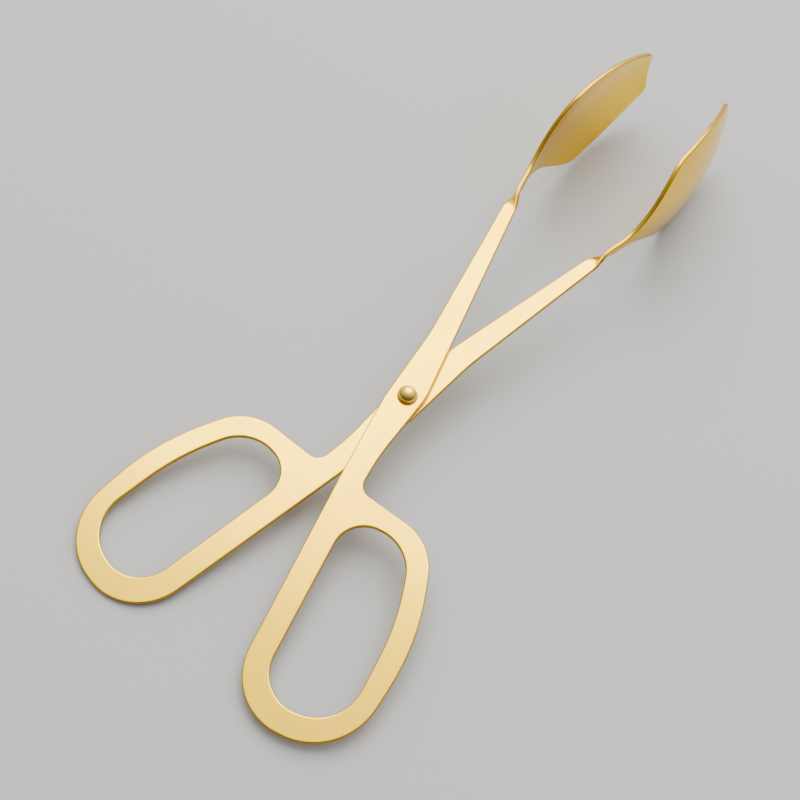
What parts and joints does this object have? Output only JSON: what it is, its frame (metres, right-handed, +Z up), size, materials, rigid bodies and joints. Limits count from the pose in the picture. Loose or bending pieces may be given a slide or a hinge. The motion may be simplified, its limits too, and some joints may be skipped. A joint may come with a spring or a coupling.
{
  "type": "ice tongs",
  "caption": "Scissor-style serving tongs in gold-toned sheet metal: finger loops, flat tapering arms twisted a quarter turn into upright dished blades, joined by a domed rivet.",
  "frame": {"origin": "centre of the bounding box in X and Y, on the table that the tongs lie on", "axes": "+Y from the finger loops to the blades, +X to the right seen from above, +Z up from the table; the flat arms rise gently towards the blades, and the pivot axis leans back with them"},
  "size_m": [0.1042, 0.2542, 0.0399],
  "materials": {
    "satin_gold": "satin brushed gold plating",
    "polished_gold": "polished gold plating",
    "plain_steel": "plain bright steel"
  },
  "bodies": {
    "lower_half": {"lower_arm": "satin_gold", "rivet": "polished_gold", "washer": "plain_steel"},
    "upper_half": {"upper_arm": "satin_gold"}
  },
  "joints": [
    {"name": "rivet_pivot", "type": "hinge", "parent": "lower_half", "child": "upper_half", "pos_m": [0, -0.02632, 0.01301], "axis": [0, -0.1138, 0.9935], "range_deg": [-10.4, 30]}
  ]
}
